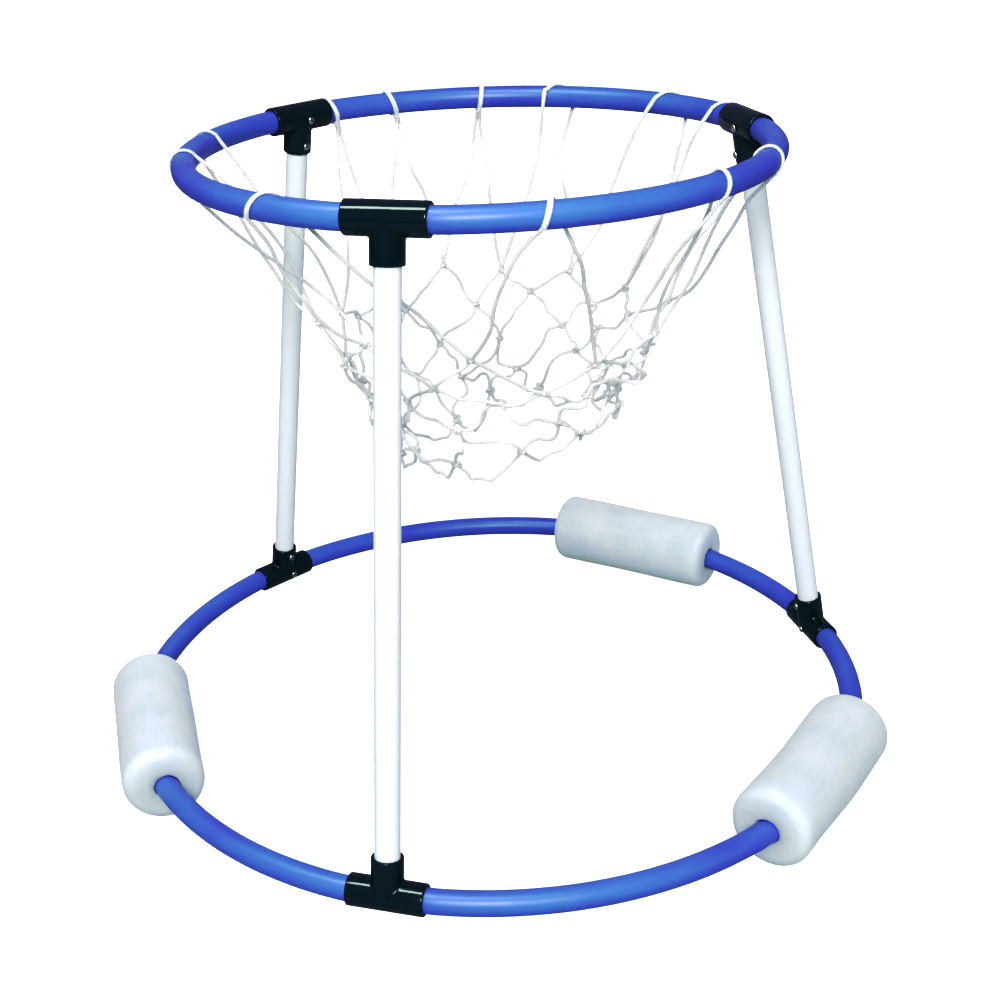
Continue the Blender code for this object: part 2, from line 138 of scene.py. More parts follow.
class Finish:
    """One Principled material, with short calls for the nodes that feed it."""

    def __init__(self, name):
        self.material = bpy.data.materials.new(name)
        self.material.use_nodes = True
        self.tree = self.material.node_tree
        self.shader = self.tree.nodes["Principled BSDF"]
        self.normal = None
        self.coords = self.add("ShaderNodeAttribute", attribute_name="flow").outputs["Vector"]

    def add(self, kind, inputs=None, **settings):
        node = self.tree.nodes.new(kind)
        for key, value in settings.items():
            setattr(node, key, value)
        for key, value in (inputs or {}).items():
            self.put(node.inputs[key], value)
        return node

    def put(self, socket, value):
        if isinstance(value, bpy.types.NodeSocket):
            self.tree.links.new(value, socket)
        else:
            socket.default_value = value

    def set(self, **inputs):
        for key, value in inputs.items():
            self.put(self.shader.inputs[key.replace("_", " ")], value)

    def noise(self, scale, detail=4.0, stretch=(1, 1, 1), roughness=0.55):
        mapped = self.add("ShaderNodeMapping", {"Vector": self.coords, "Scale": stretch})
        inputs = {"Vector": mapped.outputs[0], "Scale": scale, "Detail": detail, "Roughness": roughness}
        return self.add("ShaderNodeTexNoise", inputs).outputs[0]

    def cells(self, scale):
        inputs = {"Vector": self.coords, "Scale": scale}
        return self.add("ShaderNodeTexVoronoi", inputs, feature="F1").outputs["Distance"]

    def math(self, operation, first, second=0.0):
        return self.add("ShaderNodeMath", {0: first, 1: second}, operation=operation).outputs[0]

    def spread(self, value, low, high, to_low=0.0, to_high=1.0):
        """A value stretched from one range to another, and clamped."""
        inputs = {"Value": value, "From Min": low, "From Max": high, "To Min": to_low, "To Max": to_high}
        return self.add("ShaderNodeMapRange", inputs).outputs[0]

    def mix(self, share, first, second):
        inputs = {0: share, 6: self.colour(first), 7: self.colour(second)}
        return self.add("ShaderNodeMix", inputs, data_type="RGBA").outputs[2]

    def colour(self, value):
        return value if isinstance(value, bpy.types.NodeSocket) else (*value, 1.0)

    def bump(self, height, distance):
        """Adds a bump of a height in metres on top of the bumps before it."""
        inputs = {"Height": height, "Distance": distance, "Strength": 1.0}
        if self.normal is not None:
            inputs["Normal"] = self.normal
        self.normal = self.add("ShaderNodeBump", inputs).outputs[0]
        self.put(self.shader.inputs["Normal"], self.normal)


def tube_finish(name, pale, deep, rough, bump):
    """Extruded plastic tube: faint lines along it, slow colour change, handling marks."""
    made = Finish(name)
    cloud = made.noise(14.0, 3.0, (1, 1, 0.35))
    lines = made.noise(620.0, 2.0, (1, 1, 0.012))
    marks = made.noise(240.0, 6.0, (1, 1, 0.25), 0.7)
    colour = made.mix(made.spread(cloud, 0.3, 0.7), deep, pale)
    streaked = made.mix(made.spread(lines, 0.35, 0.75, 0.0, 0.16), colour, deep)
    made.set(Base_Color=streaked)
    scuffs = made.spread(marks, 0.52, 0.74)
    made.set(Roughness=made.math("ADD", rough, made.math("MULTIPLY", scuffs, 0.16)))
    made.bump(lines, bump)
    made.bump(cloud, bump * 4)
    return made


def tee_finish():
    """Glossy near-black moulded plastic with a slight blue-green cast and faint flow marks."""
    made = Finish("black_tee_moulded")
    flow = made.noise(60.0, 5.0, (1, 1, 0.5), 0.6)
    grain = made.noise(900.0, 3.0)
    marks = made.noise(180.0, 7.0, (1, 1, 0.4), 0.75)
    dark, light = (0.0045, 0.0250, 0.0320), (0.0070, 0.0330, 0.0430)
    made.set(Base_Color=made.mix(made.spread(flow, 0.35, 0.7), dark, light))
    scuffs = made.spread(marks, 0.56, 0.72)
    made.set(Roughness=made.math("ADD", 0.13, made.math("MULTIPLY", scuffs, 0.18)))
    made.shader.inputs["Specular IOR Level"].default_value = 0.55
    made.bump(flow, 0.00012)
    made.bump(grain, 0.000012)
    return made


def foam_finish():
    """Extruded closed-cell foam: small and large bubbles, long streaks, pale blue mottling."""
    made = Finish("white_foam_cells")
    cloud = made.noise(26.0, 4.0, (1, 1, 1), 0.6)
    streaks = made.noise(150.0, 3.0, (1, 1, 0.1))
    bubbles = made.cells(520.0)
    large = made.cells(210.0)
    grain = made.noise(1400.0, 3.0)
    pale, cool, shade = (0.72, 0.722, 0.77), (0.61, 0.65, 0.71), (0.56, 0.59, 0.63)
    mottled = made.mix(made.spread(cloud, 0.35, 0.68), pale, cool)
    streaked = made.mix(made.spread(streaks, 0.45, 0.75, 0.0, 0.5), mottled, pale)
    walls = made.mix(made.spread(bubbles, 0.0, 0.5, 0.22, 0.0), streaked, shade)
    made.set(Base_Color=walls, Roughness=made.spread(cloud, 0.3, 0.7, 0.62, 0.82))
    made.shader.inputs["Subsurface Weight"].default_value = 0.85
    made.shader.inputs["Subsurface Radius"].default_value = (0.034, 0.034, 0.036)
    made.shader.inputs["Subsurface Scale"].default_value = 1.0
    made.shader.inputs["Sheen Weight"].default_value = 0.15
    made.bump(made.math("MULTIPLY", bubbles, -1.0), 0.00016)
    made.bump(large, 0.0002)
    made.bump(streaks, 0.0005)
    made.bump(grain, 0.00004)
    return made


def cord_finish():
    """White twisted cord: three plies, loose fibres, slight greying at random, painted shade in each groove
    between the plies and painted light on the loops round the hoop's tube.
    """
    made = Finish("net_cord_twisted")
    parts = made.add("ShaderNodeSeparateXYZ", {0: made.coords})
    angle = made.math("ARCTAN2", parts.outputs[1], parts.outputs[0])
    turn = made.math("ADD", angle, made.math("MULTIPLY", parts.outputs[2], 2 * math.pi / CORD_LAY))
    ply = made.math("ABSOLUTE", made.math("SINE", made.math("MULTIPLY", turn, 1.5)))
    fibres = made.noise(2600.0, 3.0, (1, 1, 0.25))
    place = made.add("ShaderNodeTexCoord").outputs["Object"]
    grey = made.add("ShaderNodeTexNoise", {"Vector": place, "Scale": 16.0, "Detail": 3.0}).outputs[0]
    # Painted light: where the cord is pressed round the hoop's tube it is coloured near-white, as if brightly
    # lit; the strands below stay greyer, varying at random.
    squares = [made.math("POWER", parts.outputs[axis], 2.0) for axis in (0, 1)]
    across = made.math("SQRT", made.math("ADD", *squares))
    painted_loop_light = made.spread(across, CORD_R * 1.05, LOOP_CORD_R * 0.98)
    strand_grey = made.mix(made.spread(grey, 0.40, 0.62), (0.94, 0.895, 0.885), (0.68, 0.65, 0.65))
    colour = made.mix(painted_loop_light, strand_grey, (0.93, 0.92, 0.95))
    # Painted shade: the colour darkens in each groove between the plies.
    groove_shade = made.spread(ply, 0.0, 0.45, 0.50, 0.0)
    made.set(Base_Color=made.mix(groove_shade, colour, (0.70, 0.68, 0.69)))
    made.set(Roughness=made.spread(fibres, 0.3, 0.7, 0.75, 0.95))
    made.shader.inputs["Sheen Weight"].default_value = 0.25
    made.shader.inputs["Subsurface Weight"].default_value = 0.5
    made.shader.inputs["Subsurface Radius"].default_value = (0.003, 0.003, 0.003)
    made.shader.inputs["Subsurface Scale"].default_value = 1.0
    made.bump(made.math("POWER", ply, 0.5), 0.0005)
    made.bump(fibres, 0.00012)
    return made


def steel_finish():
    """Bright plated steel with turning marks and a little tarnish."""
    made = Finish("screw_steel_plated")
    tarnish = made.noise(700.0, 4.0)
    marks = made.noise(4200.0, 2.0, (1, 1, 0.2))
    made.set(Base_Color=made.mix(made.spread(tarnish, 0.4, 0.7), (0.56, 0.64, 0.58), (0.33, 0.36, 0.31)))
    made.set(Roughness=made.spread(marks, 0.3, 0.7, 0.18, 0.34))
    made.shader.inputs["Metallic"].default_value = 1.0
    made.bump(marks, 0.00001)
    return made


# Mesh building

def unit(vectors):
    return vectors / np.linalg.norm(vectors, axis=-1, keepdims=True)


def rings(stations, sides):
    """Rings of points round a path. Each station is (centre, across, up, radius, distance along)."""
    angles = 2 * np.pi * np.arange(sides) / sides
    turns = np.stack([np.cos(angles), np.sin(angles)], 1)
    rows, flows = [], []
    for centre, across, up, radius, along in stations:
        axes = np.array([across, up], float)
        rows.append(np.array(centre, float) + radius * turns @ axes)
        flows.append(np.column_stack([radius * turns, np.full(sides, along)]))
    return np.array(rows), np.array(flows)


def grid_part(rows, flows, closed=False, capped=False):
    """Points, flow coordinates and faces of a grid of rings."""
    count, sides = rows.shape[:2]
    ids = np.arange(count * sides).reshape(count, sides)
    faces = []
    after = np.roll(ids, -1, 0) if closed else ids[1:]
    before = ids if closed else ids[:-1]
    quads = np.stack([before, np.roll(before, -1, 1), np.roll(after, -1, 1), after], -1)
    faces += quads.reshape(-1, 4).tolist()
    if capped:
        faces += [ids[0].tolist(), ids[-1].tolist()]
    return rows.reshape(-1, 3), flows.reshape(-1, 3), faces


def mesh_of_parts(name, parts, sharp=50.0):
    """One smooth mesh from several grids, with each shell's faces turned outwards."""
    points = np.concatenate([part[0] for part in parts])
    flows = np.concatenate([part[1] for part in parts])
    faces, first = [], 0
    for part in parts:
        faces += [[first + index for index in face] for face in part[2]]
        first += len(part[0])
    mesh = bpy.data.meshes.new(name)
    mesh.from_pydata(points.tolist(), [], faces)
    flow = mesh.attributes.new("flow", "FLOAT_VECTOR", "POINT")
    flow.data.foreach_set("vector", flows.astype(np.float32).ravel())
    bm = bmesh.new()
    bm.from_mesh(mesh)
    bmesh.ops.recalc_face_normals(bm, faces=bm.faces)
    bm.to_mesh(mesh)
    bm.free()
    mesh.shade_smooth()
    mesh.set_sharp_from_angle(angle=math.radians(sharp))
    return mesh


def add_piece(name, mesh, finish, body, nodes, matrix=Matrix()):
    """A visible piece that rides a body, stands for its CAD nodes and has its own finish."""
    piece = bpy.data.objects.new(name, mesh)
    bpy.context.scene.collection.objects.link(piece)
    mesh.transform(matrix)
    mesh.materials.clear()
    mesh.materials.append(finish.material)
    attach(piece, body)
    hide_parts(*nodes)
    return piece


def lip(radius, mouth, depth, steps=4):
    """A rounded outer edge at a mouth, as (radius, height) from the mouth's face to the side."""
    edge = []
    for step in range(steps + 1):
        angle = math.pi / 2 * step / steps
        edge.append((radius - depth * (1 - math.sin(angle)), mouth + depth * (1 - math.cos(angle))))
    return edge


# Places of the part's frames

def tee_distance(ring_radius):
    inner = ring_radius - END_BEND_RADIUS
    return END_BEND_RADIUS + math.sqrt(inner**2 - BEND_START**2)


def ring_place(azimuth, height):
    return Matrix.Translation(RING_CENTRE + Vector((0, 0, height))) @ Matrix.Rotation(azimuth, 4, "Z")


def tee_place(azimuth, height, ring_radius):
    lean = math.atan2(tee_distance(BASE_RADIUS) - tee_distance(HOOP_RADIUS), RING_GAP)
    shift = Matrix.Translation((tee_distance(ring_radius), 0, 0))
    return ring_place(azimuth, height) @ shift @ Matrix.Rotation(-lean, 4, "Y")


# Tubes

def ring_point(ring_radius, along):
    """Point and direction angle on a ring tube's centreline, a distance along from the tee at azimuth 0."""
    turn = math.asin(BEND_START / (ring_radius - END_BEND_RADIUS))
    third = math.radians(120)
    bend = turn * END_BEND_RADIUS
    length = 2 * (BEND_START + bend) + (third - 2 * turn) * ring_radius
    if along > length / 2:
        point, angle = ring_point(ring_radius, length - along)
        radius, azimuth = math.hypot(*point), third - math.atan2(point[1], point[0])
        return (radius * math.cos(azimuth), radius * math.sin(azimuth)), third - angle
    distance = tee_distance(ring_radius)
    if along <= BEND_START:
        return (distance, along), 0.0
    if along <= BEND_START + bend:
        angle = (along - BEND_START) / END_BEND_RADIUS
        centre = distance - END_BEND_RADIUS
        side = BEND_START + END_BEND_RADIUS * math.sin(angle)
        return (centre + END_BEND_RADIUS * math.cos(angle), side), angle
    angle = turn + (along - BEND_START - bend) / ring_radius
    return (ring_radius * math.cos(angle), ring_radius * math.sin(angle)), angle


def ring_tube_mesh(name, ring_radius):
    turn = math.asin(BEND_START / (ring_radius - END_BEND_RADIUS))
    length = 2 * (BEND_START + turn * END_BEND_RADIUS) + (math.radians(120) - 2 * turn) * ring_radius
    count = math.ceil(length / TUBE_STEP)
    stops = [TUBE_END + (length - 2 * TUBE_END) * step / count for step in range(count + 1)]
    outer, inner = [], []
    for along in stops:
        (x, y), angle = ring_point(ring_radius, along)
        across = (math.cos(angle), math.sin(angle), 0)
        outer.append(((x, y, 0), across, (0, 0, 1), TUBE_R, along))
        inner.append(((x, y, 0), across, (0, 0, 1), TUBE_BORE_R, along))
    return mesh_of_parts(name, [grid_part(*rings(outer + inner[::-1], ROUND_SIDES), closed=True)])


def leg_mesh(name):
    spread = tee_distance(BASE_RADIUS) - tee_distance(HOOP_RADIUS)
    low = math.hypot(spread, RING_GAP) - STEM_STOP - END_GAP
    high = STEM_STOP + END_GAP
    stops = [high + (low - high) * step / LEG_STEPS for step in range(LEG_STEPS + 1)]
    outer = [((0, 0, -drop), (1, 0, 0), (0, 1, 0), TUBE_R, drop) for drop in stops]
    inner = [((0, 0, -drop), (1, 0, 0), (0, 1, 0), TUBE_BORE_R, drop) for drop in reversed(stops)]
    return mesh_of_parts(name, [grid_part(*rings(outer + inner, ROUND_SIDES), closed=True)])


# Tees

def tee_mesh(name):
    """A tee with its run along Y and its stem along -Z: turned run, turned stem and the fillet between."""
    half = TEE_RUN / 2
    mouth = [(TUBE_BORE_R, -TEE_STOP), (SOCKET_R, -TEE_STOP)]
    mouth += [(SOCKET_R, SOCKET_CHAMFER - half), (SOCKET_R + SOCKET_CHAMFER, -half)]
    mouth += lip(TEE_R, -half, TEE_LIP)
    profile = mouth + [(TEE_R, -half / 2), (TEE_R, 0), (TEE_R, half / 2)]
    profile += [(radius, -along) for radius, along in reversed(mouth)]
    run = [((0, along, 0), (1, 0, 0), (0, 0, 1), radius, along) for radius, along in profile]
    parts = [grid_part(*rings(run, ROUND_SIDES), closed=True)]

    # The stem's top follows the fillet's lower edge, where a ball rolled along the corner touches the stem
    angles = 2 * np.pi * np.arange(ROUND_SIDES) / ROUND_SIDES
    east, north = np.sin(angles), np.cos(angles)
    reach = TEE_R + TEE_FILLET
    top = -reach * np.abs(north)
    rows = []
    for share in (0.0, 0.34, 0.67, 1.0):
        height = top + share * (TEE_LIP - TEE_STEM - top)
        rows.append(np.column_stack([TEE_R * east, TEE_R * north, height]))
    edge = lip(TEE_R, -TEE_STEM, TEE_LIP)[::-1][1:]
    edge += [(SOCKET_R + SOCKET_CHAMFER, -TEE_STEM), (SOCKET_R, SOCKET_CHAMFER - TEE_STEM)]
    edge += [(SOCKET_R, -STEM_STOP)]
    for radius, height in edge + [(TUBE_BORE_R, -STEM_STOP)]:
        rows.append(np.column_stack([radius * east, radius * north, np.full(ROUND_SIDES, height)]))
    rows = np.array(rows)
    parts.append(grid_part(rows, rows))

    # The fillet between run and stem
    centre = np.column_stack([reach * east, reach * north, top])
    share = TEE_R / reach
    to_run = np.column_stack([share * centre[:, 0], centre[:, 1], share * top]) - centre
    to_stem = np.column_stack([share * centre[:, 0], share * centre[:, 1], top]) - centre
    shares = np.linspace(0, 1, 9)
    rows = np.array([centre + TEE_FILLET * unit(to_run * (1 - s) + to_stem * s) for s in shares])
    parts.append(grid_part(rows, rows))
    return mesh_of_parts(name, parts)


# Screws

def screw_mesh(name):
    """A pan-head screw along +Z with the underside of its head at z = 0, and a cross recess."""
    profile = [(0.0002, -SCREW_LENGTH), (SCREW_R, SCREW_R * 1.4 - SCREW_LENGTH)]
    depth = SCREW_R * 1.4 - SCREW_LENGTH
    while depth < -0.0012:
        profile += [(SCREW_R * THREAD_ROOT, depth + THREAD_PITCH / 2), (SCREW_R, depth + THREAD_PITCH)]
        depth += THREAD_PITCH
    profile += [(SCREW_R, -0.0002), (SCREW_R, 0), (SCREW_HEAD_R - 0.0002, 0), (SCREW_HEAD_R, HEAD_EDGE)]
    for step in range(1, 9):
        angle = math.pi / 2 * step / 9
        bulge = math.cos(angle) ** 0.55
        profile.append((SCREW_HEAD_R * bulge, HEAD_EDGE + (SCREW_HEAD_H - HEAD_EDGE) * math.sin(angle)))
    stations = [((0, 0, height), (1, 0, 0), (0, 1, 0), radius, height) for radius, height in profile]
    mesh = mesh_of_parts(name, [grid_part(*rings(stations, 40), capped=True)], sharp=35)
    blank = bpy.data.objects.new(f"{name}_blank", mesh)
    bpy.context.scene.collection.objects.link(blank)
    cutters = []
    for turn in (0, math.pi / 2):
        bm = bmesh.new()
        bmesh.ops.create_cube(bm, size=1.0)
        for vert in bm.verts:
            deep = vert.co.z < 0
            vert.co.x *= 0.0018 if deep else 0.0038
            vert.co.y *= 0.0006 if deep else 0.0009
            vert.co.z = 0.0006 if deep else 0.0030
        bm.transform(Matrix.Rotation(turn, 4, "Z"))
        cutter_mesh = bpy.data.meshes.new(f"{name}_cutter")
        bm.to_mesh(cutter_mesh)
        bm.free()
        cutter = bpy.data.objects.new(f"{name}_cutter", cutter_mesh)
        bpy.context.scene.collection.objects.link(cutter)
        modifier = blank.modifiers.new("recess", "BOOLEAN")
        modifier.operation, modifier.solver, modifier.object = "DIFFERENCE", "EXACT", cutter
        cutters.append(cutter)
    bpy.context.view_layer.update()
    made = bpy.data.meshes.new_from_object(blank.evaluated_get(bpy.context.evaluated_depsgraph_get()))
    made.set_sharp_from_angle(angle=math.radians(35))
    for helper in cutters + [blank]:
        bpy.data.objects.remove(helper)
    return made


# Floats

def float_frame(along):
    """Centre and outward direction of a float's skin, at a distance along it from its middle."""
    angle = along / FLOAT_BEND_RADIUS
    across = np.array([math.cos(angle), math.sin(angle), 0])
    curve_centre = np.array([BASE_RADIUS - FLOAT_INSET - FLOAT_BEND_RADIUS, 0, FLOAT_AXIS_Z])
    return curve_centre + FLOAT_BEND_RADIUS * across, across


def float_stations():
    """The closed outline of a float's wall from its middle, as (centre, across, radius, along) each."""
    half = FLOAT_LENGTH / 2
    flat = FLOAT_R - FLOAT_ROUND
    face, across = float_frame(half)
    to_axis = face[:2] @ across[:2]
    reach = math.sqrt(BASE_RADIUS**2 - face[:2] @ face[:2] + to_axis**2) - to_axis
    bore = face + reach * across
    bore[2] = BASE_Z
    onward = np.array([-across[1], across[0], 0])
    widest = math.atan2(bore[1], bore[0])
    outline = []
    for step in range(24):
        centre, direction = float_frame((half - FLOAT_ROUND) * step / 23)
        outline.append((centre, direction, FLOAT_R, (half - FLOAT_ROUND) * step / 23))
    for step in range(1, 12):
        angle = math.pi / 2 * step / 11
        along = half - FLOAT_ROUND * (1 - math.sin(angle) ** 0.95)
        centre, direction = float_frame(along)
        outline.append((centre, direction, FLOAT_R - FLOAT_ROUND * (1 - math.cos(angle) ** 0.95), along))
    for share in (0.25, 0.5, 0.75, 0.92, 1.0):
        radius = flat + share * (FOAM_BORE_R + 0.0008 - flat)
        outline.append((face + share * (bore - face), across, radius, half))
    outline.append((bore - 0.0005 * onward, across, FOAM_BORE_R + 0.0002, half - 0.0005))
    outline.append((bore - 0.0018 * onward, across, FOAM_BORE_R, half - 0.0018))
    for step in range(14):
        angle = (widest - 0.012) * (1 - step / 13)
        direction = np.array([math.cos(angle), math.sin(angle), 0])
        centre = BASE_RADIUS * direction + np.array([0, 0, BASE_Z])
        outline.append((centre, direction, FOAM_BORE_R, BASE_RADIUS * angle))
    mirror = np.array([1, -1, 1])
    other = [(centre * mirror, across * mirror, radius, -along) for centre, across, radius, along in outline]
    return outline[:-1] + other[::-1][:-1]


def float_mesh(name, seed):
    """A soft foam sleeve, slightly uneven, with rounded ends and its bore along the base ring."""
    chance = random.Random(seed)
    waves = []
    for _ in range(7):
        phases = chance.uniform(0, 6.3), chance.uniform(0, 6.3)
        waves.append((*phases, chance.choice((1, 2, 3)), chance.uniform(15, 60)))
    angles = 2 * np.pi * np.arange(FOAM_SIDES) / FOAM_SIDES
    rows, flows = [], []
    for centre, across, radius, along in float_stations():
        skin = 0.0 if radius < FLOAT_BORE_R * 1.4 else 1.0
        swell = 0.0
        for phase, other, turns, rate in waves:
            swell = swell + np.sin(turns * angles + phase) * math.sin(rate * along + other)
        reach = radius + FOAM_UNEVEN * skin * swell
        row = centre + np.outer(reach * np.cos(angles), across)
        row[:, 2] = np.maximum(row[:, 2] + reach * np.sin(angles), 0.0)
        rows.append(row)
        flow = [reach * np.cos(angles), reach * np.sin(angles), np.full(FOAM_SIDES, along)]
        flows.append(np.column_stack(flow))
    return mesh_of_parts(name, [grid_part(np.array(rows), np.array(flows), closed=True)], sharp=80)


# Net

def net_knots():
    """The rows of knots down the net's funnel, by the same rule as in the part's source."""
    count = len(LOOP_AZIMUTHS)
    chance = random.Random(NET_SEED)
    rows = []
    for row in range(NET_ROWS):
        share = row / (NET_ROWS - 1)
        drop = NET_FIRST_DROP + share * (NET_LAST_DROP - NET_FIRST_DROP)
        radius = NET_FIRST_R + share * (NET_LAST_R - NET_FIRST_R)
        knots = []
        for k in range(count):
            place = k + 0.5 if row % 2 == 0 else k + 1.0
            low, high = int(place) % count, (int(place) + 1) % count
            gap = (LOOP_AZIMUTHS[high] - LOOP_AZIMUTHS[low]) % 360
            by_loops = LOOP_AZIMUTHS[low] + (place % 1) * gap
            evenly = LOOP_AZIMUTHS[0] + 360 * place / count
            slide = (evenly - by_loops + 180) % 360 - 180
            evenness = NET_EVEN_FIRST + share * (NET_EVEN_LAST - NET_EVEN_FIRST)
            azimuth = math.radians(by_loops + evenness * slide)
            out = radius + chance.uniform(-1, 1) * NET_UNEVEN
            aside = chance.uniform(-1, 1) * NET_UNEVEN
            down = drop + chance.uniform(-1, 1) * NET_UNEVEN
            down *= 1 - share * NET_TILT * math.cos(azimuth - NET_TILT_AZIMUTH)
            outward = Vector((math.cos(azimuth), math.sin(azimuth), 0))
            sideways = Vector((-outward.y, outward.x, 0))
            knot = out * outward + aside * sideways + (down / NET_LAST_DROP) * NET_LEAN
            knots.append(knot - Vector((0, 0, down)))
        rows.append(knots)
    return rows


def sampled(points, step):
    """A smooth line through the points, sampled at about one point a step."""
    points = np.array([tuple(point) for point in points], float)
    padded = np.vstack([2 * points[0] - points[1], points, 2 * points[-1] - points[-2]])
    line = []
    for a, b, c, d in zip(padded, padded[1:], padded[2:], padded[3:]):
        count = max(2, int(round(np.linalg.norm(c - b) / step)))
        for t in np.arange(count) / count:
            spot = 2 * b + (c - a) * t + (2 * a - 5 * b + 4 * c - d) * t**2 + (3 * b - a - 3 * c + d) * t**3
            line.append(spot / 2)
    return np.array(line + [points[-1]])


def cord_part(line, radii, closed=False, sides=CORD_SIDES):
    """A round cord along a line, with frames that turn as little as they can."""
    line = np.array(line, float)
    radii = np.broadcast_to(radii, len(line))
    if closed:
        tangents = unit(np.roll(line, -1, 0) - np.roll(line, 1, 0))
    else:
        tangents = unit(np.gradient(line, axis=0))
    across = np.cross(tangents[0], (0.31, 0.52, 0.79))
    stations, along = [], 0.0
    for k, (spot, tangent) in enumerate(zip(line, tangents)):
        across = unit(across - tangent * np.dot(across, tangent))
        if k:
            along += float(np.linalg.norm(spot - line[k - 1]))
        stations.append((spot, across, np.cross(tangent, across), radii[k], along))
    if closed:
        # Spreads the twist that is left where the loop closes
        first, last = stations[0], stations[-1]
        moved = unit(last[1] - tangents[0] * np.dot(last[1], tangents[0]))
        turned_by = float(np.dot(np.cross(first[1], moved), tangents[0]))
        turn = math.atan2(turned_by, float(np.dot(first[1], moved)))
        for k, (spot, side, up, radius, distance) in enumerate(stations):
            back = -turn * k / (len(stations) - 1)
            turned = side * math.cos(back) + up * math.sin(back)
            stations[k] = (spot, turned, np.cross(tangents[k], turned), radius, distance)
    return grid_part(*rings(stations, sides), closed=closed, capped=not closed)


def knot_part(centre, axis, size, chance):
    """A small closed trefoil that stands for a knot, turned at random. The strands aren't tied through it."""
    turns = 2 * np.pi * np.arange(KNOT_STEPS) / KNOT_STEPS
    shape = np.column_stack([
        np.sin(turns) + 2 * np.sin(2 * turns),
        np.cos(turns) - 2 * np.cos(2 * turns),
        -1.25 * np.sin(3 * turns),
    ]) * size / 3
    towards = Vector(axis).to_track_quat("Z", "Y").to_matrix()
    spin = Matrix.Rotation(chance.uniform(0, 2 * math.pi), 3, "Z")
    tip = Matrix.Rotation(chance.uniform(-0.7, 0.7), 3, "X")
    matrix = np.array(towards @ spin @ tip)
    return cord_part(shape @ matrix.T + np.array(centre), CORD_R * 0.98, closed=True, sides=8)


def loop_line(azimuth, slant, travel, knots, chance):
    """One length of cord: up from a knot, round the hoop's tube and down to the next knot."""
    outward = Vector((math.cos(azimuth), math.sin(azimuth), 0))
    sideways, up = Vector((-outward.y, outward.x, 0)), Vector((0, 0, 1))
    tube_centre = HOOP_RADIUS * outward
    ring_r = TUBE_R + 0.0001 + LOOP_CORD_R
    lean = math.tan(math.radians(slant))

    def spot(radius, angle, aside):
        inwards, high = radius * math.cos(angle), radius * math.sin(angle)
        return tube_centre - inwards * outward + high * up + (aside + lean * high) * sideways

    def leaving(knot):
        """Direction of a knot round the tube, and how far from it the cord leaves the tube."""
        inwards, high = -(knot - tube_centre).dot(outward), knot.z
        return math.atan2(high, inwards), math.acos(ring_r / math.hypot(inwards, high))

    if travel:
        inner, outer = (knots[1], knots[0]) if travel < 0 else knots
        (low, lift), (far, drop) = leaving(inner), leaving(outer)
        first, sweep = low + lift, 2 * math.pi + far - drop - low - lift
        asides = [travel * (step / LOOP_STEPS - 0.5) for step in range(LOOP_STEPS + 1)]
        slack, neck = CROSSED_SLACK, None
    else:
        inner, outer = knots
        opening = math.acos(ring_r / LOOP_NECK)
        first, sweep = NECK_ANGLE + opening, 2 * math.pi - 2 * opening
        asides = [NECK_SPLIT * (step / (LOOP_STEPS / 2) - 1) for step in range(LOOP_STEPS + 1)]
        slack, neck = NECKED_SLACK, spot(LOOP_NECK, NECK_ANGLE, 0)
    turn = [spot(ring_r, first + sweep * step / LOOP_STEPS, aside) for step, aside in enumerate(asides)]
    if neck is not None:
        turn = [spot(LOOP_NECK, NECK_ANGLE, -NECK_SPLIT)] + turn + [spot(LOOP_NECK, NECK_ANGLE, NECK_SPLIT)]
    before = hanging(turn[0], inner, chance, 6, slack, LOOP_KINK)
    after = hanging(turn[-1], outer, chance, 6, slack, LOOP_KINK)
    line = sampled(before[::-1][:-1] + turn + after[1:], CORD_STEP)
    rim = line - np.array(tube_centre)
    off_tube = np.hypot(rim @ np.array(outward), rim[:, 2]) - ring_r
    press = np.exp(-np.maximum(off_tube, 0) / PRESS_REACH)
    return neck, line, press


def loop_part(line, press):
    """The cord of a loop, wider and flatter where it is pressed on the tube."""
    points, flows, faces = cord_part(line, CORD_R + (LOOP_CORD_R - CORD_R) * press)
    flat = 1 - 0.5 * np.repeat(press, CORD_SIDES)
    reach = np.hypot(points[:, 0], points[:, 1])
    out, up = reach - HOOP_RADIUS, points[:, 2]
    distance = np.hypot(out, up)
    share = (TUBE_R + (distance - TUBE_R) * flat) / distance
    points = points * ((HOOP_RADIUS + out * share) / reach)[:, None]
    points[:, 2] = up * share
    return points, flows, faces


def hanging(start, stop, chance, count, slack, kink=0.0):
    """Points from start to stop with slow waves to the side, a little sag and small kinks."""
    run = stop - start
    side = run.cross(Vector((0, 0, 1)))
    side = side.normalized() if side.length > 1e-6 else Vector((1, 0, 0))
    face = run.cross(side).normalized()
    first = [chance.uniform(-1, 1) for _ in range(4)]
    points = []
    for step in range(count + 1):
        share = step / count
        swing = math.sin(math.pi * share)
        wave = math.sin(2 * math.pi * share)
        point = start.lerp(stop, share)
        point += slack * (first[0] * swing + 0.7 * first[1] * wave) * side
        point += slack * (first[2] * swing + 0.6 * first[3] * wave) * face
        if 0 < step < count:
            point += kink * (chance.uniform(-1, 1) * side + chance.uniform(-1, 1) * face)
        points.append(point)
    return points


def whipping_part(neck, direction):
    """Two and a half tight turns of cord that hold a loop's two strands together below the tube."""
    axis = np.array(direction.normalized())
    across = unit(np.cross(axis, (0.2, 0.9, 0.1)))
    other = np.cross(axis, across)
    line = []
    for step in range(64):
        share = step / 63
        angle = 2 * math.pi * WHIP_TURNS * share
        round_neck = WHIP_R * (math.cos(angle) * across + math.sin(angle) * other)
        line.append(np.array(neck) + axis * (WHIP_LENGTH * (share - WHIP_START)) + round_neck)
    return cord_part(line, WHIP_CORD_R, sides=8)


